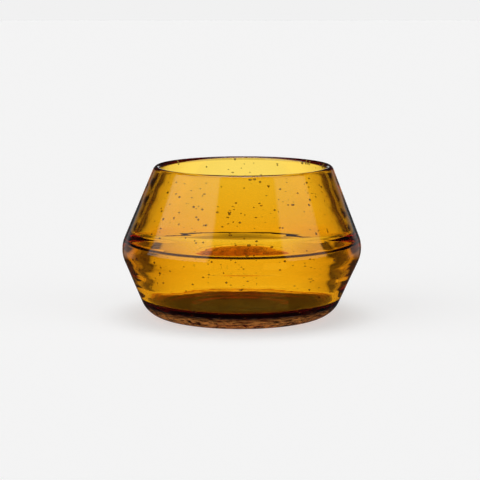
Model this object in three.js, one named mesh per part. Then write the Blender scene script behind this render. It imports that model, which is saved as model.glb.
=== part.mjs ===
// Tealight holder: one thick-walled vessel of blown glass, made of two cones that meet
// at a rounded shoulder, with an open mouth on top and a heavy floor below.
// It is a single piece of glass, so it is a single mesh. Millimetres, +Z up,
// origin at the middle of the face that it stands on.
import * as THREE from "three";

// Overall sizes
const HEIGHT = 69;
const WIDEST_RADIUS = 55; // at the shoulder, over the rounding
const SHOULDER_HEIGHT = 31; // where the two outer cones would meet
const RIM_RADIUS = 40.8; // outside of the mouth, before its edge is rounded
const FOOT_RADIUS = 42.6; // where the lower cone would meet the table

// Glass thickness; each wall is measured square to its own outer surface
const UPPER_WALL = 3.3;
const SHOULDER_WALL = 4.9; // the lower wall at its top, where the glass is thickest
const FOOT_WALL = 3; // the lower wall tapers to this by the foot
const FLOOR_THICKNESS = 8.5;

// The thick glass of the shoulder ends inside at a ledge, and above the ledge a slope
// leads back to the thinner upper wall.
const LEDGE_ABOVE_SHOULDER = 3.3;
const SLOPE_HEIGHT = 4.2;
const BEND_BELOW_SHOULDER = 1.3; // where the inside turns from the ledge into the lower cone

// Roundings
const SHOULDER_ROUNDING = 14;
const FOOT_ROUNDING = 11.5;
const LIP_ROUNDING = 1.5; // both edges of the mouth, softened by the flame
const SLOPE_ROUNDING = 6; // inside, where the slope runs into the upper wall
const LEDGE_ROUNDING = 0.6;
const BEND_ROUNDING = 11;
const WELL_ROUNDING = 4; // inside, where the wall meets the floor

// The underside is pushed up a little in the middle, so the vessel stands on a flat ring.
const HOLLOW_RADIUS = 22;
const HOLLOW_DEPTH = 0.8;
const HOLLOW_EDGE_WIDTH = 4; // the slope between the ring and the flat of the hollow

// Fineness of the faceted solid
const ARC_STEP = THREE.MathUtils.degToRad(10);
const SIDES = 80;

const glass = new THREE.MeshStandardMaterial({
  color: 0xd98a0a,
  roughness: 0.05,
  metalness: 0,
  transparent: true,
  opacity: 0.6,
});

// The point where two straight lines cross; each line is [point, direction].
function crossing([p, u], [q, v]) {
  const along = (q.clone().sub(p).cross(v)) / u.cross(v);
  return p.clone().addScaledVector(u, along);
}

// A line through two points.
function lineThrough(a, b) {
  return [a, b.clone().sub(a).normalize()];
}

// The line from a to b after each end has moved to its left by its own distance.
function inset(a, b, distanceAtA, distanceAtB) {
  const direction = b.clone().sub(a).normalize();
  const left = new THREE.Vector2(-direction.y, direction.x);
  return lineThrough(
    a.clone().addScaledVector(left, distanceAtA),
    b.clone().addScaledVector(left, distanceAtB),
  );
}

// The point of a line at a given height.
function atHeight([point, direction], height) {
  return point.clone().addScaledVector(direction, (height - point.y) / direction.y);
}

// The corner of two cones so placed that its rounding reaches exactly WIDEST_RADIUS.
// A rounding of radius r, tangent to both sides, falls short of the corner by an amount
// that depends on the cones' slopes, and those depend on the corner: a few rounds settle it.
function shoulderCorner() {
  const corner = new THREE.Vector2(WIDEST_RADIUS, SHOULDER_HEIGHT);
  for (let round = 0; round < 30; round++) {
    const lower = Math.atan2(corner.x - FOOT_RADIUS, SHOULDER_HEIGHT);
    const upper = Math.atan2(corner.x - RIM_RADIUS, HEIGHT - SHOULDER_HEIGHT);
    const centre = roundingCentreRadius(corner.x, lower, upper);
    corner.x += WIDEST_RADIUS - (centre + SHOULDER_ROUNDING);
  }
  return corner;
}

// Radius at which the shoulder rounding's centre lies, for a corner and its two slopes.
function roundingCentreRadius(cornerRadius, lower, upper) {
  const halfTurn = (lower + upper) / 2;
  const setBack = SHOULDER_ROUNDING / Math.cos(halfTurn);
  return cornerRadius - setBack * Math.cos((upper - lower) / 2);
}

// An outline through the corners, each rounded by an arc that is tangent to both its sides.
// Corners are { at: Vector2, rounding }, and a rounding of 0 keeps the corner sharp.
function roundedOutline(corners) {
  const points = [];
  corners.forEach(({ at, rounding }, i) => {
    if (!rounding) {
      points.push(at.clone());
      return;
    }
    const back = corners[i - 1].at.clone().sub(at).normalize();
    const ahead = corners[i + 1].at.clone().sub(at).normalize();
    const half = Math.acos(back.dot(ahead)) / 2;
    const start = at.clone().addScaledVector(back, rounding / Math.tan(half));
    const toCentre = back.clone().add(ahead).normalize();
    const centre = at.clone().addScaledVector(toCentre, rounding / Math.sin(half));
    const spoke = start.sub(centre);
    const turn = (Math.PI - 2 * half) * Math.sign(ahead.cross(back));
    const steps = Math.max(2, Math.ceil(Math.abs(turn) / ARC_STEP));
    for (let s = 0; s <= steps; s++) {
      const arm = spoke.clone().rotateAround(new THREE.Vector2(), (turn * s) / steps);
      points.push(centre.clone().add(arm));
    }
  });
  return points;
}

// The half section of the glass, from the axis under the floor, out and up round the
// outside, over the lip, and down the inside to the axis again.
function section() {
  const foot = new THREE.Vector2(FOOT_RADIUS, 0);
  const shoulder = shoulderCorner();
  const rim = new THREE.Vector2(RIM_RADIUS, HEIGHT);
  const thinUpper = inset(shoulder, rim, UPPER_WALL, UPPER_WALL);
  const thickUpper = inset(shoulder, rim, SHOULDER_WALL, SHOULDER_WALL);
  const lower = inset(foot, shoulder, FOOT_WALL, SHOULDER_WALL);
  const inward = new THREE.Vector2(-1, 0);
  const top = [rim, inward];
  const floor = [new THREE.Vector2(FOOT_RADIUS, FLOOR_THICKNESS), inward];
  const ledgeHeight = SHOULDER_HEIGHT + LEDGE_ABOVE_SHOULDER;
  const slopeTop = atHeight(thinUpper, ledgeHeight + SLOPE_HEIGHT);
  const bend = atHeight(lower, SHOULDER_HEIGHT - BEND_BELOW_SHOULDER);
  return roundedOutline([
    { at: new THREE.Vector2(0, HOLLOW_DEPTH), rounding: 0 },
    { at: new THREE.Vector2(HOLLOW_RADIUS - HOLLOW_EDGE_WIDTH, HOLLOW_DEPTH), rounding: 0 },
    { at: new THREE.Vector2(HOLLOW_RADIUS, 0), rounding: 0 },
    { at: foot, rounding: FOOT_ROUNDING },
    { at: shoulder, rounding: SHOULDER_ROUNDING },
    { at: rim, rounding: LIP_ROUNDING },
    { at: crossing(thinUpper, top), rounding: LIP_ROUNDING },
    { at: slopeTop, rounding: SLOPE_ROUNDING },
    { at: atHeight(thickUpper, ledgeHeight), rounding: LEDGE_ROUNDING },
    { at: bend, rounding: BEND_ROUNDING },
    { at: crossing(lower, floor), rounding: WELL_ROUNDING },
    { at: new THREE.Vector2(0, FLOOR_THICKNESS), rounding: 0 },
  ]);
}

// A lathe turns its outline about Y; tipping it up puts the vessel's axis on Z.
function glassVessel() {
  const geometry = new THREE.LatheGeometry(section(), SIDES);
  geometry.rotateX(Math.PI / 2);
  const mesh = new THREE.Mesh(geometry, glass);
  mesh.name = "glass_vessel";
  return mesh;
}

const tealightHolder = new THREE.Group();
tealightHolder.add(glassVessel());

export default tealightHolder;
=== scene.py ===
# %% [markdown]
# # A seeded amber glass tealight holder
#
# The real object is one piece of hand-blown glass: a gather of amber glass blown into two
# cones that meet at a soft shoulder. Nothing is fastened to it and nothing in it moves, so
# this lesson makes one piece well: its outer form, the uneven skin inside, the air bubbles
# that glassmakers call seeds, and the glass itself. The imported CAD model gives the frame,
# and the fine surface made here stands in for its faceted solid.

# %% Load the frame
import math

import bmesh
import bpy
import numpy as np
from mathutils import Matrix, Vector


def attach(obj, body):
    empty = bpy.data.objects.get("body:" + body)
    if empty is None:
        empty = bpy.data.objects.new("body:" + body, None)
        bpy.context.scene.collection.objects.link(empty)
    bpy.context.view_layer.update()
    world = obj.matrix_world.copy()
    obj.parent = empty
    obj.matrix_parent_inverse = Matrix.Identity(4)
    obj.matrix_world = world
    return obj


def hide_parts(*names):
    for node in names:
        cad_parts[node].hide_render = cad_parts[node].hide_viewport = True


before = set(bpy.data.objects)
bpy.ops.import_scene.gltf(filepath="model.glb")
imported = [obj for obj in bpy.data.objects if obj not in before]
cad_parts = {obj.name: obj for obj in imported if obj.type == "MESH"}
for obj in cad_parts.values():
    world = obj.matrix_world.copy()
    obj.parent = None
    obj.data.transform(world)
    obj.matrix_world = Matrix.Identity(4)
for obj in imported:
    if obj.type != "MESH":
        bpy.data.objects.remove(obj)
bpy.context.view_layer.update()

# %% [markdown]
# ## Driving sizes
#
# These are the sizes of the glass itself, in millimetres. The outside, the walls and the
# floor are those of the CAD solid, and the roundings inside are a little finer here. The
# outline could be a scanned curve, but a section with a few named corners was chosen,
# because a wall or a rounding can then still be changed by itself.

# %% Sizes of the glass, in millimetres
MM = 0.001  # one millimetre in metres
HEIGHT = 69
WIDEST_RADIUS = 55  # at the shoulder, over its rounding
SHOULDER_HEIGHT = 31  # where the two outer cones would meet
RIM_RADIUS = 40.8  # outside of the mouth, before its edge is rounded
FOOT_RADIUS = 42.6  # where the lower cone would meet the table
UPPER_WALL = 3.3
SHOULDER_WALL = 4.9  # the lower wall at its top, where the glass is thickest
FOOT_WALL = 3  # the lower wall tapers to this by the foot
FLOOR_THICKNESS = 8.5
LEDGE_ABOVE_SHOULDER = 3.3  # height of the ledge inside, where the thick glass ends
LOW_BEND, HIGH_BEND = 2.2, 0.9  # below the shoulder: where the ledge turns into the lower wall
SHOULDER_ROUNDING = 14
FOOT_ROUNDING = 11.5
LIP_ROUNDING = 1.6
SLOPE_ROUNDING = 6  # inside, where the slope runs into the upper wall
LEDGE_ROUNDING = 0.4
BEND_ROUNDING = 9
WELL_ROUNDING = 2.5  # inside, where the wall meets the floor
HOLLOW_RADIUS = 22  # the underside is hollow, so the vessel stands on a flat ring
HOLLOW_DEPTH = 0.8
HOLLOW_EDGE_WIDTH = 4
print("vessel:", 2 * WIDEST_RADIUS, "mm wide,", HEIGHT, "mm high")

# %% [markdown]
# ## The section of the glass
#
# A vessel of revolution is a profile carried round an axis. The profile here is a chain of
# straight runs and arcs. Each corner has a rounding, and an arc that is tangent to both of
# its sides replaces it. A Bevel modifier could round the corners too, but here every arc has
# the same number of points, so two profiles with different sizes match point for point and
# can be mixed.

# %% Geometry of lines and corners in the plane of the section
ARC_POINTS = 12


def unit(vector):
    """The vector divided by its own length."""
    return vector / np.linalg.norm(vector)


def inset(a, b, distance_at_a, distance_at_b):
    """The line from a to b after each end has moved to its left by its own distance."""
    along = unit(b - a)
    left = np.array([-along[1], along[0]])
    start, end = a + left * distance_at_a, b + left * distance_at_b
    return start, unit(end - start)


def at_height(line, height):
    """The point of a line at a given height."""
    point, along = line
    return point + along * (height - point[1]) / along[1]


def rounded(corners):
    """Arcs tangent to both sides of each corner: centre plus a spoke turned step by step."""
    arcs = []
    for number, (corner, rounding) in enumerate(corners):
        corner = np.asarray(corner, float)
        if rounding == 0:
            arcs.append(corner[None])
            continue
        back = unit(corners[number - 1][0] - corner)
        ahead = unit(corners[number + 1][0] - corner)
        half = math.acos(back @ ahead) / 2
        centre = corner + unit(back + ahead) * rounding / math.sin(half)
        spoke = corner + back * rounding / math.tan(half) - centre
        turn = (math.pi - 2 * half) * np.sign(ahead[0] * back[1] - ahead[1] * back[0])
        angle = turn * np.linspace(0, 1, ARC_POINTS)
        x = spoke[0] * np.cos(angle) - spoke[1] * np.sin(angle)
        y = spoke[0] * np.sin(angle) + spoke[1] * np.cos(angle)
        arcs.append(centre + np.stack([x, y], axis=-1))
    return arcs


print("each rounded corner is an arc of", ARC_POINTS, "points")

# %% The shoulder corner
SETTLING_ROUNDS = 30


def shoulder_corner():
    """The corner moved out by what its rounding falls short of WIDEST_RADIUS, until it settles."""
    radius = WIDEST_RADIUS
    for _ in range(SETTLING_ROUNDS):
        lower = math.atan2(radius - FOOT_RADIUS, SHOULDER_HEIGHT)
        upper = math.atan2(radius - RIM_RADIUS, HEIGHT - SHOULDER_HEIGHT)
        set_back = SHOULDER_ROUNDING / math.cos((lower + upper) / 2)
        centre = radius - set_back * math.cos((upper - lower) / 2)
        radius += WIDEST_RADIUS - (centre + SHOULDER_ROUNDING)
    return np.array([radius, SHOULDER_HEIGHT])


SHOULDER = shoulder_corner()
FOOT = np.array([FOOT_RADIUS, 0.0])
RIM = np.array([RIM_RADIUS, HEIGHT], float)
print("the outer cones would meet at radius", round(SHOULDER[0], 2), "mm")

# %% [markdown]
# ## Two gathers and the fold between them
#
# A heavy vessel like this can be blown from two gathers of glass. The second gather covers
# the lower half and ends inside in a fold: a fine raised thread, with a slope above it where
# the thick glass thins out into the upper wall. The slope is longer on the side where the
# glass ran further. The fold could be a separate ring laid on the wall, but a ring would be
# a second surface inside the glass, so it is part of the section, which is a function of
# the slope's height and of the thread's height.


# %% The section as a function of the fold
THREAD_WIDTH = 0.9


def section(slope_height, thread_height, ledge_rounding=LEDGE_ROUNDING, bend_below=LOW_BEND):
    """Arcs from the axis under the floor, round the outside, over the lip and down inside.

    Each inner line is an outer line moved inwards by the thickness of the wall.
    """
    thread_wall = SHOULDER_WALL + thread_height
    thin_upper = inset(SHOULDER, RIM, UPPER_WALL, UPPER_WALL)
    thread_line = inset(SHOULDER, RIM, thread_wall, thread_wall)
    thick_upper = inset(SHOULDER, RIM, SHOULDER_WALL, SHOULDER_WALL)
    lower = inset(FOOT, SHOULDER, FOOT_WALL, SHOULDER_WALL)
    ledge_height = SHOULDER_HEIGHT + LEDGE_ABOVE_SHOULDER
    return rounded([
        (np.array([0, HOLLOW_DEPTH]), 0),
        (np.array([HOLLOW_RADIUS - HOLLOW_EDGE_WIDTH, HOLLOW_DEPTH]), 0),
        (np.array([HOLLOW_RADIUS, 0]), 0),
        (FOOT, FOOT_ROUNDING),
        (SHOULDER, SHOULDER_ROUNDING),
        (RIM, LIP_ROUNDING),
        (at_height(thin_upper, HEIGHT), LIP_ROUNDING),
        (at_height(thin_upper, ledge_height + slope_height), SLOPE_ROUNDING),
        (at_height(thread_line, ledge_height), ledge_rounding),
        (at_height(thick_upper, ledge_height - THREAD_WIDTH), LEDGE_ROUNDING),
        (at_height(lower, SHOULDER_HEIGHT - bend_below), BEND_ROUNDING),
        (at_height(lower, FLOOR_THICKNESS), WELL_ROUNDING),
        (np.array([0, FLOOR_THICKNESS]), 0),
    ])


print("the fold is a thread", THREAD_WIDTH, "mm wide")

# %% Fill the straight runs with points, the same number in each profile
RUN_SPACING = 0.9


def joined(arcs, run_counts=None):
    """One chain of points; a straight run is start plus share of the way to its end."""
    if run_counts is None:
        gaps = [np.linalg.norm(b[0] - a[-1]) for a, b in zip(arcs, arcs[1:])]
        run_counts = [max(1, int(gap / RUN_SPACING)) for gap in gaps]
    chain = [arcs[0]]
    for count, before, after in zip(run_counts, arcs, arcs[1:]):
        share = (np.arange(1, count) / count)[:, None]
        chain += [before[-1] + (after[0] - before[-1]) * share, after]
    return np.vstack(chain), run_counts


print("straight runs get a point about every", RUN_SPACING, "mm")

# %% Three sections: front, sides and back
LONG_SLOPE, SHORT_SLOPE, BACK_SLOPE = 6.7, 2.2, 5
HIGH_THREAD, LOW_THREAD, NO_THREAD = 0.45, 0.35, 0.005  # a trace keeps the corner in place
SOFT_ROUNDING = 4
long_fold, run_counts = joined(section(LONG_SLOPE, HIGH_THREAD))
short_fold, _ = joined(section(SHORT_SLOPE, LOW_THREAD), run_counts)
faint_fold, _ = joined(section(BACK_SLOPE, NO_THREAD, SOFT_ROUNDING, HIGH_BEND), run_counts)
is_inside = np.arange(len(long_fold)) > np.argmax(long_fold[:, 1])
print("points along the section:", len(long_fold), "of which inside:", is_inside.sum())

# %% [markdown]
# ## Carry the section round the axis
#
# Hand-made glass isn't the same all the way round. At the front the slope is long, at the
# sides it is short, and at the back the inner skin sags a little lower and the thread fades.
# A Screw modifier would turn one section into a perfect ring. Here each azimuth gets a mix
# of three sections instead, and the shares of the mix change smoothly.

# %% Shares of the three sections at each azimuth
SIDES = 256
FRONT_HALF_WIDTH = 1.3  # radians
FRONT_FULLNESS = 0.6  # a power below 1 keeps the slope long over most of the front
BACK_START = 0.2  # how far towards the front the back's section begins
azimuth = np.arange(SIDES) * 2 * math.pi / SIDES
towards_front = -np.sin(azimuth)

edge = math.cos(FRONT_HALF_WIDTH)
front_share = np.clip((towards_front - edge) / (1 - edge), 0, 1) ** FRONT_FULLNESS
back_share = np.clip((BACK_START - towards_front) / (BACK_START + 1), 0, 1)
side_share = np.clip(1 - front_share - back_share, 0, 1)
shares = np.stack([front_share, side_share, back_share])
shares /= shares.sum(axis=0)
print("mean shares of front, sides and back:", shares.mean(axis=1).round(2))

# %% The wall: sections mixed by their shares
BACK_SAG = 4.2
SAG_HEIGHTS = (14, 28, 38, 58)  # the sag begins, is full, is still full, and ends


def sagged(profile):
    """The inside of a profile, lowered by BACK_SAG near the fold and not at lip or floor."""
    height = profile[:, 1]
    near_fold = np.interp(height, SAG_HEIGHTS, (0, 1, 1, 0))
    return profile - np.stack([0 * height, BACK_SAG * near_fold * is_inside], axis=-1)


profiles = np.stack([long_fold, short_fold, sagged(faint_fold)])
wall = np.einsum("ka,kpc->pac", shares, profiles)
radius, height = wall[..., 0], wall[..., 1]
print("grid of the wall:", radius.shape, "points")

# %% [markdown]
# ## Tool waves
#
# A blown wall is shaped with wooden blocks while it is turned, and its inner skin keeps
# faint waves. They are hundredths of a millimetre high, and a few tenths low on the two
# sides. That is too low to see as shape, but every one of them is a weak lens. A noise
# texture in a Displace modifier could make them. A sum of sines of seeded random length and
# direction was chosen, because it gives waves that run mostly round the vessel, as turning
# it makes them, and it stays smooth.

# %% Waves of the inner skin
WAVE_COUNT = 26
WAVE_HEIGHT = 0.009
MOST_LOBES = 8  # waves round the vessel
WAVE_RATES = (0.12, 1.1)  # radians of wave per millimetre of height
RATE_OFFSET = 0.5  # keeps the longest waves from growing too high
WAVE_SWAY = 0.6
RING_COUNT = 8
RING_HEIGHT = 0.003
RING_RATES = (0.5, 1.6)
RING_SWAY = 0.5
waves_random = np.random.default_rng(4)


def inner_waves(height, azimuth):
    """Sum over waves of height times sine up the wall times cosine round the vessel."""
    total = np.zeros_like(height)
    for _ in range(WAVE_COUNT):
        lobes = waves_random.integers(0, MOST_LOBES + 1)
        per_mm = waves_random.uniform(*WAVE_RATES)
        start, turn = waves_random.uniform(0, 2 * math.pi, 2)
        climb = np.sin(per_mm * height + start + WAVE_SWAY * np.sin(azimuth + turn))
        total += WAVE_HEIGHT / (RATE_OFFSET + per_mm) * climb * np.cos(lobes * azimuth + turn)
    for _ in range(RING_COUNT):
        per_mm = waves_random.uniform(*RING_RATES)
        start = waves_random.uniform(0, 2 * math.pi)
        sway = RING_SWAY * np.sin(azimuth + start)
        total += RING_HEIGHT * np.sin(per_mm * height + start + sway)
    return total


waves = inner_waves(height, azimuth[None, :] + 0 * height)
print("highest wave before it is placed:", round(float(np.abs(waves).max()), 3), "mm")

# %% Where the waves are strong and where they fade
LOWER_WALL_BOOST = 5  # the sides of the lower wall
SIDE_POWER = 3
BOOST_TOP = 36
BOOST_BAND = 6
LIP_BAND = 6  # no waves at the lip
CALM_RADIUS = 25  # nor in the middle of the floor
OUTER_SHARE = 0.1  # the outside was blocked smooth

side_bias = np.abs(np.cos(azimuth)) ** SIDE_POWER
low_down = np.clip((BOOST_TOP - height) / BOOST_BAND, 0, 1)
boost = 1 + low_down * (LOWER_WALL_BOOST * side_bias - 1)
fade = np.clip((HEIGHT - height) / LIP_BAND, 0, 1) * np.clip(radius / CALM_RADIUS, 0, 1)
waves = waves * boost * fade
radius = radius + waves * np.where(is_inside, 1, OUTER_SHARE)[:, None]
print("highest wave:", round(float(np.abs(waves).max()), 3), "mm")

# %% [markdown]
# ## From arrays to a mesh
#
# The grid becomes quads between each ring of points and the next, and the two ends on the
# axis close with a fan. The wall could be built face by face, but whole arrays are far
# quicker and show the pattern of the numbering, and one helper puts them into Blender's
# mesh.


# %% Grid and mesh helpers
def ring_quads(rings, sides):
    """Corner numbers of the quads between ring i and ring i + 1, closed round the axis."""
    ring = np.arange(rings - 1)[:, None] * sides
    side = np.arange(sides)[None, :]
    after = (side + 1) % sides
    next_ring = ring + sides
    return np.stack([ring + side, ring + after, next_ring + after, next_ring + side], axis=-1)


def mesh_from(name, points, face_groups):
    """A mesh from points in metres and arrays of faces, each array with one corner count.

    A face starts in the list of corners where the sizes of the faces before it add up to.
    """
    corners = np.concatenate([group.reshape(-1) for group in face_groups]).astype(np.int32)
    sizes = np.concatenate([np.full(len(group), group.shape[1]) for group in face_groups])
    starts = np.concatenate([[0], np.cumsum(sizes)[:-1]]).astype(np.int32)
    mesh = bpy.data.meshes.new(name)
    mesh.vertices.add(len(points))
    mesh.vertices.foreach_set("co", points.astype(np.float32).reshape(-1))
    mesh.loops.add(len(corners))
    mesh.loops.foreach_set("vertex_index", corners)
    mesh.polygons.add(len(sizes))
    mesh.polygons.foreach_set("loop_start", starts)
    mesh.update(calc_edges=True)
    mesh.validate()
    mesh.shade_smooth()
    return mesh


print("quads between two rings:", len(ring_quads(2, SIDES)[0]))

# %% The wall as points and faces
def lathe(radius, height):
    """Point = (radius cos azimuth, radius sin azimuth, height), with a pole at either end."""
    x, y = radius * np.cos(azimuth), radius * np.sin(azimuth)
    rings = np.stack([x, y, height], axis=-1)
    inner_rings = rings[1:-1].reshape(-1, 3)
    points = np.vstack([inner_rings, rings[0].mean(axis=0), rings[-1].mean(axis=0)])
    quads = ring_quads(len(rings) - 2, SIDES).reshape(-1, 4)
    side, after = np.arange(SIDES), (np.arange(SIDES) + 1) % SIDES
    last = (len(rings) - 3) * SIDES
    under, floor = len(inner_rings) + 0 * side, len(inner_rings) + 1 + 0 * side
    fan_under = np.stack([under, after, side], axis=-1)
    fan_floor = np.stack([floor, last + side, last + after], axis=-1)
    return points, quads, np.vstack([fan_under, fan_floor])


wall_points, wall_quads, wall_fans = lathe(radius, height)
print("wall:", len(wall_points), "points,", 2 * len(wall_quads) + len(wall_fans), "triangles")

# %% [markdown]
# ## Seeds
#
# Seeds are air bubbles that stay in the melt. Each one is a closed hollow in the glass: a
# small ball whose faces are turned round, so they face the air inside it. Turning the
# vessel on the pipe draws the bubbles out sideways. Dark spots in a texture would be
# simpler, but a real hollow bends the light like a bubble from every side. Real seeds go
# down to a tenth of a millimetre. Those are too fine to show, so the smallest here are about
# 0.4 mm across, as coarse as they need to be to show. A ball of 80 faces is enough for that.

# %% One ball, by cutting up an icosahedron
ball = bmesh.new()
bmesh.ops.create_icosphere(ball, subdivisions=2, radius=1)
ball_mesh = bpy.data.meshes.new("ball")
ball.to_mesh(ball_mesh)
ball.free()
ball_points = np.empty((len(ball_mesh.vertices), 3))
ball_mesh.vertices.foreach_get("co", ball_points.reshape(-1))
ball_faces = np.empty((len(ball_mesh.polygons), 3), np.int32)
ball_mesh.loops.foreach_get("vertex_index", ball_faces.reshape(-1))
bpy.data.meshes.remove(ball_mesh)
print("one bubble:", len(ball_faces), "faces")

# %% Where the small seeds lie
SEED_COUNT = 520
SEEDS_BEYOND = 36  # radius; the flat of the base is left clear
seeds_random = np.random.default_rng(11)


def places_in_wall(count):
    """Azimuth, section point and inward normal, spread evenly over the outer surface.

    A step of the section is picked as often as its length times its radius says.
    """
    outer = long_fold[(~is_inside) & (long_fold[:, 0] > SEEDS_BEYOND)]
    steps = np.diff(outer, axis=0)
    middles = (outer[1:] + outer[:-1]) / 2
    share = np.linalg.norm(steps, axis=1) * middles[:, 0]
    picked = seeds_random.choice(len(steps), count, p=share / share.sum())
    along = steps[picked] / np.linalg.norm(steps[picked], axis=1)[:, None]
    inward = np.stack([-along[:, 1], along[:, 0]], axis=-1)
    return seeds_random.uniform(0, 2 * math.pi, count), middles[picked], inward


seed_azimuth, seed_middle, seed_inward = places_in_wall(SEED_COUNT)
print("lowest and highest seed:", seed_middle[:, 1].min().round(1), seed_middle[:, 1].max().round(1))

# %% A bubble is a ball stretched and moved into the wall
SKIN = 0.15  # least glass over a bubble
SHALLOWEST = 0.65  # depth of a bubble's middle under the outer skin
INNER_MARGIN = 0.9
DEEPEST = UPPER_WALL - INNER_MARGIN


def bubbles(azimuth, middle, inward, size, stretch):
    """Ball scaled in depth, round the vessel and upwards, then moved to its place in the wall."""
    depth = seeds_random.uniform(SHALLOWEST, DEEPEST, len(size))
    depth = np.maximum(depth, size * stretch[:, 0] + SKIN)
    centre = middle + inward * depth[:, None]
    local = ball_points[None] * (size[:, None] * stretch)[:, None, :]
    out, up = local[..., 0] + centre[:, :1], local[..., 2] + centre[:, 1:]
    sideways = local[..., 1]
    cos, sin = np.cos(azimuth)[:, None], np.sin(azimuth)[:, None]
    points = np.stack([out * cos - sideways * sin, out * sin + sideways * cos, up], axis=-1)
    first = (np.arange(len(size)) * len(ball_points))[:, None, None]
    return points.reshape(-1, 3), (ball_faces[None, :, ::-1] + first).reshape(-1, 3)


print("bubbles lie", SHALLOWEST, "to", round(DEEPEST, 2), "mm deep")

# %% The small seeds
SEED_RADIUS = 0.22
SEED_SPREAD = 0.5
SEED_LARGEST = 0.5
LEAST_STRETCH = [0.8, 1.0, 0.8]  # in depth, sideways and upwards
MOST_STRETCH = [1.0, 1.8, 1.1]

seed_size = SEED_RADIUS * np.exp(np.abs(seeds_random.normal(0, SEED_SPREAD, SEED_COUNT)))
seed_size = np.minimum(seed_size, SEED_LARGEST)
seed_stretch = seeds_random.uniform(LEAST_STRETCH, MOST_STRETCH, (SEED_COUNT, 3))
seed_points, seed_faces = bubbles(
    seed_azimuth, seed_middle, seed_inward, seed_size, seed_stretch
)
print("small seeds:", SEED_COUNT, "median radius", round(float(np.median(seed_size)), 2), "mm")

# %% The few large seeds, each in its own place
FRONT = -90  # degrees of azimuth
LARGE_SEEDS = [
    # degrees from the front (to the right), height, half width, half height, in mm
    (-50, 60, 0.55, 0.55),
    (-43, 60, 0.35, 0.30),
    (-39, 50, 0.25, 0.60),
    (-23, 60.5, 0.70, 0.22),
    (7, 51, 0.60, 0.22),
    (6, 56, 0.35, 0.25),
    (-1, 53, 0.30, 0.25),
    (34, 61, 0.40, 0.35),
    (-29, 42, 0.35, 0.30),
    (-23, 40, 0.45, 0.30),
    (-24, 41.5, 0.30, 0.25),
    (118, 55, 0.55, 0.30),
    (160, 24, 0.40, 0.55),
    (-130, 48, 0.50, 0.25),
    (75, 20, 0.45, 0.30),
]
LARGE_DEPTH = 0.7  # half of what a large seed takes of the wall's thickness
ABOVE_BASE = 1


def large_seeds(rows):
    """Each row becomes an azimuth, the outer point at its height, and a size in all three ways."""
    turn, up, half_width, half_height = np.array(rows).T
    outer = long_fold[(~is_inside) & (long_fold[:, 1] > ABOVE_BASE)]
    number = np.searchsorted(outer[:, 1], up)
    along = outer[number] - outer[number - 1]
    along /= np.linalg.norm(along, axis=1)[:, None]
    inward = np.stack([-along[:, 1], along[:, 0]], axis=-1)
    stretch = np.stack([np.full(len(rows), LARGE_DEPTH), half_width, half_height], axis=-1)
    return np.radians(turn + FRONT), outer[number], inward, np.ones(len(rows)), stretch


big_points, big_faces = bubbles(*large_seeds(LARGE_SEEDS))
print("large seeds:", len(LARGE_SEEDS))

# %% [markdown]
# ## One leaning mesh
#
# A hand-made vessel seldom stands quite straight, and this one leans to the right by about a
# degree. A shear of the points keeps its foot flat on the table, which a turned object
# wouldn't. Wall and seeds then go into one mesh, because a bubble is only a bubble to the
# renderer where it is part of the same body of glass.

# %% Lean of the finished vessel
LEAN = 0.02
LEAN_HEIGHT = 38  # the height that stays in place


def leaned(points):
    """Shear: x grows by LEAN times the height above LEAN_HEIGHT."""
    x, y, z = points.T
    return np.stack([x + LEAN * (z - LEAN_HEIGHT), y, z], axis=-1)


print("lean:", round(math.degrees(math.atan(LEAN)), 1), "degrees")

# %% Put wall and seeds in one mesh
wall_count = len(wall_points)
all_points = leaned(np.vstack([wall_points, seed_points, big_points])) * MM
small_faces = seed_faces + wall_count
large_faces = big_faces + wall_count + len(seed_points)
vessel_mesh = mesh_from(
    "seeded_glass_vessel", all_points, [wall_quads, wall_fans, small_faces, large_faces]
)
vessel = bpy.data.objects.new("seeded_glass_vessel", vessel_mesh)
bpy.context.scene.collection.objects.link(vessel)
vessel_mesh.calc_loop_triangles()
print("vessel with seeds:", len(vessel_mesh.loop_triangles), "triangles")

# %% The signed volume of the glass, which is positive when the faces point outwards
CUBIC_CM = 1e6  # in a cubic metre
solid = bmesh.new()
solid.from_mesh(vessel_mesh)
print("glass:", round(solid.calc_volume(signed=True) * CUBIC_CM, 1), "cm3")
solid.free()

# %% [markdown]
# ## The glass
#
# Amber glass is soda-lime glass with iron and sulphur melted in. The melt takes away blue
# first, then green, so a thin wall looks yellow and a thick one brown. A tinted surface could
# stand in for that, but it would give a thick floor and a thin wall the same colour. The
# colour belongs to depth, so it is in the volume: the surface is clear, and Volume Absorption
# takes more light the longer the way through the wall. Blowing and fire polishing leave the
# skin smooth and bright, with faint cords where the melt wasn't fully mixed. The outside of
# the foot is scuffed, and less clear there, which gives the eye a brown, patchy band.

# %% Two helpers for every material
def linear(colour):
    """The linear red, green, blue and alpha of an sRGB hex colour, by the sRGB curve."""
    share = np.array([int(colour[at:at + 2], 16) for at in (1, 3, 5)]) / 255
    bent = np.where(share <= 0.04045, share / 12.92, ((share + 0.055) / 1.055) ** 2.4)
    return (*bent.tolist(), 1.0)


def add(tree, kind, inputs=None, stops=(), **settings):
    """A new node. Settings are its fields, and an input is a value, an output or a whole node."""
    node = tree.nodes.new(kind)
    for name, value in settings.items():
        setattr(node, name, value)
    for name, value in (inputs or {}).items():
        if isinstance(value, bpy.types.Node):
            value = value.outputs[0]
        if isinstance(value, bpy.types.NodeSocket):
            tree.links.new(value, node.inputs[name])
        else:
            node.inputs[name].default_value = value
    for number, (place, level) in enumerate(stops):
        if number >= len(node.color_ramp.elements):
            node.color_ramp.elements.new(place)
        node.color_ramp.elements[number].position = place
        node.color_ramp.elements[number].color = (level, level, level, 1)
    return node


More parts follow.
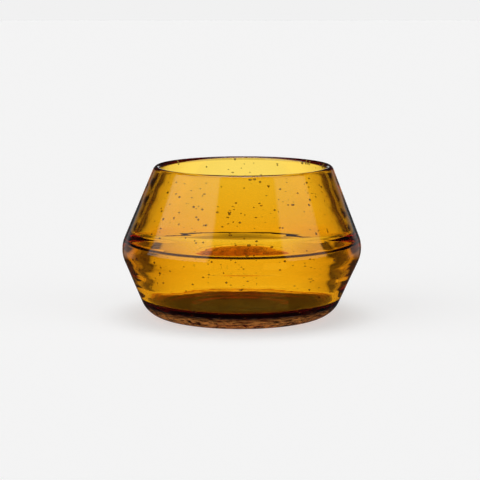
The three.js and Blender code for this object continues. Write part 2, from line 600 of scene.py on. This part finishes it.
WHITE = linear("#ffffff")
MIX_A, MIX_B, MIX_RESULT = 6, 7, 2  # the colour sockets of a Mix node
print("white in linear values:", WHITE)

# %% Seeded amber glass: its numbers, with sizes in millimetres
AMBER = "#fbeb60"
ABSORPTION = 700
GLASS_IOR = 1.52  # soda-lime glass
# Cords in hand-made glass are a few millimetres wide and run round the vessel.
CORD_WIDTH = 2.5
CORD_LENGTH = 30
CORD_HEIGHT = 0.018
CORD_DETAIL = 2
# Real scuffs are scratches a few hundredths of a millimetre wide. They are too fine to show,
# so they are drawn as patches, as coarse as they need to be to show.
SCUFF_LENGTH, SCUFF_WIDTH = 3, 0.8
SCUFF_DETAIL = 3
SCUFF_TOP, SCUFF_FULL = 6.5, 4  # heights
SCUFF_START, SCUFF_ALL = 35.5, 37  # distances from the middle of the base
GRIT_LOW, GRIT_HIGH = 0.35, 0.65  # the noise that makes the patches runs between these
SCUFF_COLOUR = "#e09048"
SCUFF_SPREAD = 6  # the colour is full where the scuffs only begin
SCUFF_ROUGHNESS = 0.08
SCUFF_CLEARNESS = 0.3
loss = [ABSORPTION * (1 - channel) for channel in linear(AMBER)[:3]]
print("absorbed per metre, red green blue:", [round(value) for value in loss])


# %% Seeded amber glass: the material
def amber_glass():
    """Blown soda-lime glass, fire-polished: bright clear skin, and colour that grows with depth."""
    material = bpy.data.materials.new("seeded_amber_glass")
    material.use_nodes = True
    tree = material.node_tree
    shader = tree.nodes["Principled BSDF"]
    shader.inputs["IOR"].default_value = GLASS_IOR
    place = add(tree, "ShaderNodeTexCoord").outputs["Object"]

    # The scuffed band: below SCUFF_TOP, and only outside of the ring that it stands on.
    low_down = add(tree, "ShaderNodeMapRange", {
        "Value": add(tree, "ShaderNodeSeparateXYZ", {0: place}).outputs["Z"],
        "From Min": SCUFF_TOP * MM,
        "From Max": SCUFF_FULL * MM,
    })
    band = add(tree, "ShaderNodeMapRange", {
        "Value": add(tree, "ShaderNodeVectorMath", {0: place}, operation="LENGTH").outputs["Value"],
        "From Min": SCUFF_START * MM,
        "From Max": SCUFF_ALL * MM,
        "To Max": low_down,
    })
    scuff_place = add(tree, "ShaderNodeMapping", {
        "Vector": place,
        "Scale": (1 / (SCUFF_LENGTH * MM), 1 / (SCUFF_LENGTH * MM), 1 / (SCUFF_WIDTH * MM)),
    })
    grit = add(tree, "ShaderNodeTexNoise", {
        "Vector": scuff_place,
        "Scale": 1,
        "Detail": SCUFF_DETAIL,
    })
    scuffs = add(tree, "ShaderNodeMapRange", {
        "Value": grit,
        "From Min": GRIT_LOW,
        "From Max": GRIT_HIGH,
        "To Max": band,
    })
    rough = add(tree, "ShaderNodeMath", {0: scuffs, 1: SCUFF_ROUGHNESS}, operation="MULTIPLY")
    clear = add(tree, "ShaderNodeMapRange", {
        "Value": scuffs,
        "To Min": 1,
        "To Max": SCUFF_CLEARNESS,
    })
    stained = add(tree, "ShaderNodeMath", {
        0: band,
        1: SCUFF_SPREAD,
    }, operation="MULTIPLY", use_clamp=True)
    stain = add(tree, "ShaderNodeMix", {
        "Factor": stained,
        MIX_A: WHITE,
        MIX_B: linear(SCUFF_COLOUR),
    }, data_type="RGBA")

    # The cords: noise that is long round the vessel and short up it.
    cord_place = add(tree, "ShaderNodeMapping", {
        "Vector": place,
        "Scale": (1 / (CORD_LENGTH * MM), 1 / (CORD_LENGTH * MM), 1 / (CORD_WIDTH * MM)),
    })
    cords = add(tree, "ShaderNodeTexNoise", {
        "Vector": cord_place,
        "Scale": 1,
        "Detail": CORD_DETAIL,
    })
    skin = add(tree, "ShaderNodeBump", {"Height": cords, "Distance": CORD_HEIGHT * MM})
    tree.links.new(rough.outputs[0], shader.inputs["Roughness"])
    tree.links.new(clear.outputs[0], shader.inputs["Transmission Weight"])
    tree.links.new(stain.outputs[MIX_RESULT], shader.inputs["Base Color"])
    tree.links.new(skin.outputs[0], shader.inputs["Normal"])
    volume = add(tree, "ShaderNodeVolumeAbsorption", {
        "Color": linear(AMBER),
        "Density": ABSORPTION,
    })
    tree.links.new(volume.outputs[0], tree.nodes["Material Output"].inputs["Volume"])
    return material


vessel_mesh.materials.append(amber_glass())
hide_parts("glass_vessel")
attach(vessel, "root")
print("glass made from", len(vessel_mesh.materials[0].node_tree.nodes), "nodes")

# %% [markdown]
# ## The studio
#
# Glass shows what surrounds it, so it is lit by a bright field and a dark field: a lit screen
# behind, darker on both sides of it so that the edges of the glass read dark, a softbox at
# either side for the tall reflections, and a light above. The table is plain and pale. A
# card lies under the vessel, and its glow is painted shade and light: a painted shadow under
# the foot, so the thick floor of the glass reads dark, and painted light round it, standing
# for the lit table. A real card would show, but this one shows only through the glass.

# %% A flat matt sheet
MATT = 0.9


def flat_sheet(name, points, colour, height):
    """A flat face through points in millimetres, at a height, with a plain matt finish."""
    mesh = bpy.data.meshes.new(name)
    corners = [(x * MM, y * MM, height * MM) for x, y in points]
    mesh.from_pydata(corners, [], [list(range(len(corners)))])
    material = bpy.data.materials.new(name)
    material.use_nodes = True
    shader = material.node_tree.nodes["Principled BSDF"]
    shader.inputs["Base Color"].default_value = linear(colour)
    shader.inputs["Roughness"].default_value = MATT
    shader.inputs["Specular IOR Level"].default_value = 0
    mesh.materials.append(material)
    piece = bpy.data.objects.new(name, mesh)
    bpy.context.scene.collection.objects.link(piece)
    return piece, shader


print("sheets of the studio are matt, with roughness", MATT)

# %% The floor, with a glow that brings it to the level of the backdrop
FLOOR_SIDE = 4000  # half of its width
FLOOR_HEIGHT = -0.3
FLOOR_COLOUR = "#bcbcbc"
FLOOR_GLOW = 0.546
floor_corners = FLOOR_SIDE * np.array([(-1, -1), (1, -1), (1, 1), (-1, 1)])
floor, floor_shader = flat_sheet(
    "studio_floor", floor_corners.tolist(), FLOOR_COLOUR, FLOOR_HEIGHT
)
floor_shader.inputs["Emission Color"].default_value = WHITE
floor_shader.inputs["Emission Strength"].default_value = FLOOR_GLOW
floor.visible_transmission = False
floor.visible_glossy = False
print("floor", 2 * FLOOR_SIDE * MM, "m wide")

# %% The card: painted shadow under the foot, painted light round it
CARD_RADIUS = 78
CARD_BACK = 58.5  # the card is cut off straight behind the vessel
CARD_CORNERS = 64
CARD_HEIGHT = -0.15
CARD_COLOUR = "#383838"
# the card's glow is a painted shadow under the foot and painted light round it, for the lit table
PAINTED_SHADOW_RADIUS, PAINTED_LIGHT_RADIUS = 38, 43
PAINTED_SHADOW_GLOW, PAINTED_LIGHT_GLOW = 0.01, 1.1
turns = np.linspace(0, 2 * math.pi, CARD_CORNERS, endpoint=False)
card_edge = np.stack([CARD_RADIUS * np.cos(turns), CARD_RADIUS * np.sin(turns)], axis=-1)
card_edge[:, 1] = np.minimum(card_edge[:, 1], CARD_BACK)
card, card_shader = flat_sheet("painted_shadow_card", card_edge.tolist(), CARD_COLOUR, CARD_HEIGHT)
card_tree = card.data.materials[0].node_tree
card_place = add(card_tree, "ShaderNodeTexCoord").outputs["Object"]
from_middle = add(card_tree, "ShaderNodeVectorMath", {0: card_place}, operation="LENGTH")
# Painted shadow and light: the glow is faint under the foot and bright beyond it, as a shaded and a
# lit table would look
painted_shade_and_light = add(card_tree, "ShaderNodeMapRange", {
    "Value": from_middle.outputs["Value"],
    "From Min": PAINTED_SHADOW_RADIUS * MM,
    "From Max": PAINTED_LIGHT_RADIUS * MM,
    "To Min": PAINTED_SHADOW_GLOW,
    "To Max": PAINTED_LIGHT_GLOW,
})
card_shader.inputs["Emission Color"].default_value = WHITE
card_tree.links.new(painted_shade_and_light.outputs[0], card_shader.inputs["Emission Strength"])
card.visible_camera = False
card.visible_glossy = False
card.visible_diffuse = False
card.visible_shadow = False
print("card", 2 * CARD_RADIUS, "mm wide")

# %% [markdown]
# ## Light all round
#
# A real studio would have screens and softboxes standing round the glass, and area lights
# could stand for them. A world shader was chosen, because glass only needs the level of light
# in each direction, and there the edge of a screen is one number. The levels run over the
# azimuth from straight behind ("side" either way, "turn" all round) and over the elevation
# ("rise"). Light seen through the glass and light mirrored in it have their own levels, as
# screens that face one way would give.

# %% Levels of light, each over degrees
LIMITS = {"side": (0, 180), "turn": (-180, 180), "rise": (-90, 90)}
LEVELS = {
    # the screen seen through the glass, with a dark flag on both sides
    "screen": ("side", [
        (0, 1.12), (4, 1.1), (8, 0.93), (11, 0.8), (12.5, 0.04), (16.5, 0.04), (18.5, 0.35),
        (34, 0.35), (38, 0.85), (180, 0.85),
    ]),
    "screen heights": ("rise", [(-90, 1), (2, 1), (5, 0)]),
    # lower down the flags are wider
    "low screen": ("side", [
        (0, 1.12), (4, 1.1), (8, 0.93), (10, 0.8), (12, 0.04), (36, 0.04), (42, 0.8), (180, 0.8),
    ]),
    "low heights": ("rise", [(-8, 1), (-4, 0)]),
    # far below, an even light from the table
    "table heights": ("rise", [(-90, 1), (-23, 1), (-20, 0)]),
    # what is mirrored: the screen's glare, and a softbox at either side
    "glare": ("side", [
        (0, 1.12), (6, 1.1), (11.5, 0.9), (13.5, 0.04), (23, 0.04), (26, 0.25), (50, 0.25),
        (60, 0),
    ]),
    "glare heights": ("rise", [(-14, 0), (-10, 1), (2, 1), (6, 0)]),
    "softboxes": ("turn", [
        (-148.5, 0), (-145.5, 1.1), (-80.5, 1.1), (-77.5, 0), (90.5, 0), (93.5, 0.75),
        (135.5, 0.75), (138.5, 0),
    ]),
    "softbox heights": ("rise", [(1.5, 0), (4.5, 1), (60.5, 1), (63.5, 0)]),
    "top light": ("rise", [(60, 0), (75, 3)]),
}
TABLE_LEVEL = 0.8
SHADE = 0.02  # the level where no light stands
BACKDROP = "#f1f1f1"


def over(low, high, pairs):
    """Stops whose places run from 0 at low to 1 at high."""
    return [((degrees - low) / (high - low), level) for degrees, level in pairs]


print("levels of light:", ", ".join(LEVELS))


# %% The world made from those levels
def studio_world():
    """Level by direction: what is seen through glass, what is mirrored in it, and the rest.

    Through glass: screen times its heights. Mirrored: glare and softboxes times theirs.
    """
    world = bpy.data.worlds.new("studio_light")
    world.use_nodes = True
    tree = world.node_tree
    tree.nodes.clear()

    way = add(tree, "ShaderNodeTexCoord").outputs["Generated"]
    x, y, z = add(tree, "ShaderNodeSeparateXYZ", {0: way}).outputs
    turn = add(tree, "ShaderNodeMath", {0: x, 1: y}, operation="ARCTAN2")
    angles = {
        "side": add(tree, "ShaderNodeMath", {0: turn}, operation="ABSOLUTE"),
        "turn": turn,
        "rise": add(tree, "ShaderNodeMath", {0: z}, operation="ARCSINE"),
    }
    share = {
        kind: add(tree, "ShaderNodeMapRange", {
            "Value": angle,
            "From Min": math.radians(LIMITS[kind][0]),
            "From Max": math.radians(LIMITS[kind][1]),
        })
        for kind, angle in angles.items()
    }
    level = {
        name: add(tree, "ShaderNodeValToRGB", {"Fac": share[kind]}, over(*LIMITS[kind], stops))
        for name, (kind, stops) in LEVELS.items()
    }

    sides = add(tree, "ShaderNodeMix", {
        "Factor": level["low heights"],
        "A": level["screen"],
        "B": level["low screen"],
    })
    field = add(tree, "ShaderNodeMix", {
        "Factor": level["table heights"],
        "A": sides,
        "B": TABLE_LEVEL,
    })
    through = add(tree, "ShaderNodeMath", {
        0: field,
        1: level["screen heights"],
        2: SHADE,
    }, operation="MULTIPLY_ADD")
    glare = add(tree, "ShaderNodeMath", {
        0: level["glare"],
        1: level["glare heights"],
        2: SHADE,
    }, operation="MULTIPLY_ADD")
    mirrored = add(tree, "ShaderNodeMath", {
        0: level["softboxes"],
        1: level["softbox heights"],
        2: glare,
    }, operation="MULTIPLY_ADD")
    path = add(tree, "ShaderNodeLightPath").outputs
    seen = add(tree, "ShaderNodeMix", {
        "Factor": path["Is Transmission Ray"],
        "A": mirrored,
        "B": through,
    })
    strength = add(tree, "ShaderNodeMath", {0: seen, 1: level["top light"]}, operation="ADD")
    lit = add(tree, "ShaderNodeBackground", {"Color": WHITE, "Strength": strength})
    plain = add(tree, "ShaderNodeBackground", {"Color": linear(BACKDROP)})
    mix = add(tree, "ShaderNodeMixShader", {0: path["Is Camera Ray"], 1: lit, 2: plain})
    add(tree, "ShaderNodeOutputWorld", {"Surface": mix})
    return world


scene = bpy.context.scene
scene.world = studio_world()
print("studio light:", len(scene.world.node_tree.nodes), "nodes")

# %% [markdown]
# ## Camera
#
# The camera looks a little down at the vessel through a long lens, as for a catalogue: the
# foot and the rim both show as flat ovals, and the far side is hardly smaller than the near
# one. It could be turned by an angle for each axis, but here it is turned towards a target,
# so it can be moved without a new sum. Thick glass bends and mirrors light many times, so the
# light may also take more turns than it does by default.

# %% Camera and view
CAMERA_DISTANCE = 851.6
CAMERA_ELEVATION = math.radians(8.7)
CAMERA_LENS = 138.75
CAMERA_REACH = 50  # metres
TARGET_X = -0.92
LIGHT_TURNS = 32
target = Vector((TARGET_X, 0, HEIGHT / 2)) * MM
away = Vector((0, -math.cos(CAMERA_ELEVATION), math.sin(CAMERA_ELEVATION)))
camera_data = bpy.data.cameras.new("camera")
camera_data.lens = CAMERA_LENS
camera_data.clip_end = CAMERA_REACH
camera = bpy.data.objects.new("camera", camera_data)
camera.location = target + away * CAMERA_DISTANCE * MM
camera.rotation_mode = "QUATERNION"
camera.rotation_quaternion = (-away).to_track_quat("-Z", "Y")
scene.collection.objects.link(camera)
scene.camera = camera
scene.view_settings.view_transform = "Standard"
scene.cycles.use_denoising = True
scene.cycles.max_bounces = LIGHT_TURNS
scene.cycles.transmission_bounces = LIGHT_TURNS
scene.cycles.glossy_bounces = LIGHT_TURNS
print("camera", round(camera.location.length, 2), "m from the middle of the foot")
